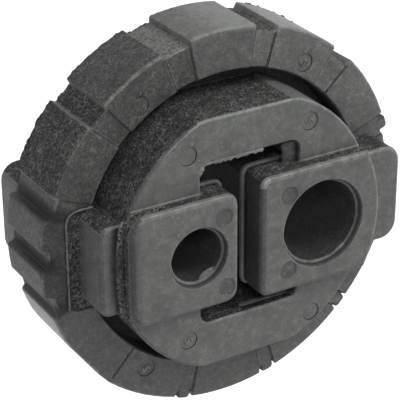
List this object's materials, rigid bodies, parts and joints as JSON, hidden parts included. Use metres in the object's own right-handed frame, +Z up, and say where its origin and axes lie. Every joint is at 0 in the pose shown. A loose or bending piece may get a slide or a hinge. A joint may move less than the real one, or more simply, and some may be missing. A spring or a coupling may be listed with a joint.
{
  "type": "exhaust hanger rubber",
  "caption": "Round moulded rubber hanger with a padded outer ring, two crescent gaps, an I-shaped slot, and a small and a large pin bore.",
  "frame": {"origin": "centre of the ring, halfway through its width", "axes": "+Y along the ring's and the bores' axis, away from the face with the slim arm; +X from the small bore to the large bore; +Z up"},
  "size_m": [0.0656, 0.0316, 0.0648],
  "materials": {
    "rubber": "matte, with rough spark-eroded patches and traces of white powder"
  },
  "bodies": {
    "root": {"hanger_rubber": "rubber"}
  },
  "joints": []
}
